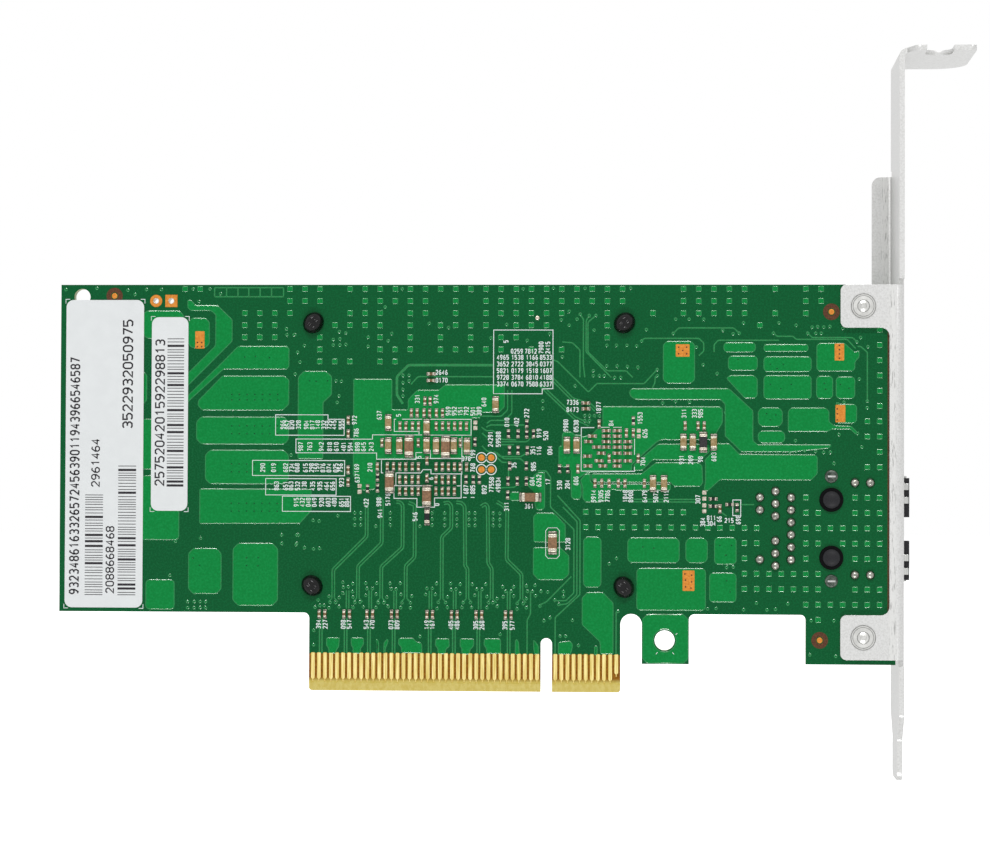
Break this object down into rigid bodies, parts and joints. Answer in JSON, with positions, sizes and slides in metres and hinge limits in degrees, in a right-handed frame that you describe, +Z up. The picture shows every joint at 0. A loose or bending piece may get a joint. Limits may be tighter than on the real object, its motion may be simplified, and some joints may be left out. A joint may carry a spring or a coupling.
{
  "type": "network interface card",
  "caption": "Wired network adapter card: green circuit board with a gold edge connector, finned heatsink, one network port and a full-height slot bracket.",
  "frame": {"origin": "solder face of the board, on the centre line of the edge connector's key notch, at the connector's lower edge", "axes": "+X along the card towards the slot bracket, +Y from the solder side to the component side, +Z up from the edge connector"},
  "size_m": [0.1506, 0.0216, 0.12],
  "materials": {
    "mask_board": "glossy green solder mask over glass laminate",
    "gold_plate": "hard gold plating, satin",
    "bracket_steel": "nickel-plated steel sheet with a fine speckle",
    "rivet_steel": "pressed steel",
    "port_plastic": "black moulded plastic",
    "shield_metal": "tinned sheet",
    "light_pipe": "clear moulded plastic",
    "potting": "dark potting compound",
    "solder": "bright solder",
    "tinned_pin": "tinned wire",
    "black_aluminium": "anodised aluminium",
    "nylon": "black nylon",
    "spring_steel": "spring wire",
    "package_epoxy": "moulded epoxy",
    "thermal_gel": "soft grey pad",
    "label_paper": "white paper label",
    "chip_ceramic": "tan ceramic with tin ends",
    "resistor_ceramic": "black glaze with tin ends",
    "ferrite": "dark grey ferrite",
    "powder_iron": "grey pressed iron powder",
    "can_aluminium": "bare aluminium can",
    "crystal_metal": "metal lid"
  },
  "bodies": {
    "root": {"circuit_board": "mask_board", "edge_contacts": "gold_plate", "bracket": "bracket_steel", "rivets": "rivet_steel", "port_housing": "port_plastic", "port_shield": "shield_metal", "port_contacts": "gold_plate", "port_transformer_block": "potting", "port_pins": "tinned_pin", "status_lights": "light_pipe", "solder_joints": "solder", "heatsink": "black_aluminium", "push_pins": "nylon", "push_pin_springs": "spring_steel", "network_controller": "package_epoxy", "line_driver": "package_epoxy", "thermal_pads": "thermal_gel", "large_label": "label_paper", "small_label": "label_paper", "small_chip_capacitors": "chip_ceramic", "large_chip_capacitors": "chip_ceramic", "chip_resistors": "resistor_ceramic", "ferrite_bead": "ferrite", "face_chip_capacitors": "chip_ceramic", "face_chip_resistors": "resistor_ceramic", "power_inductors": "powder_iron", "polymer_capacitors": "can_aluminium", "regulator_chips": "package_epoxy", "memory_chip": "package_epoxy", "crystals": "crystal_metal"}
  },
  "joints": []
}
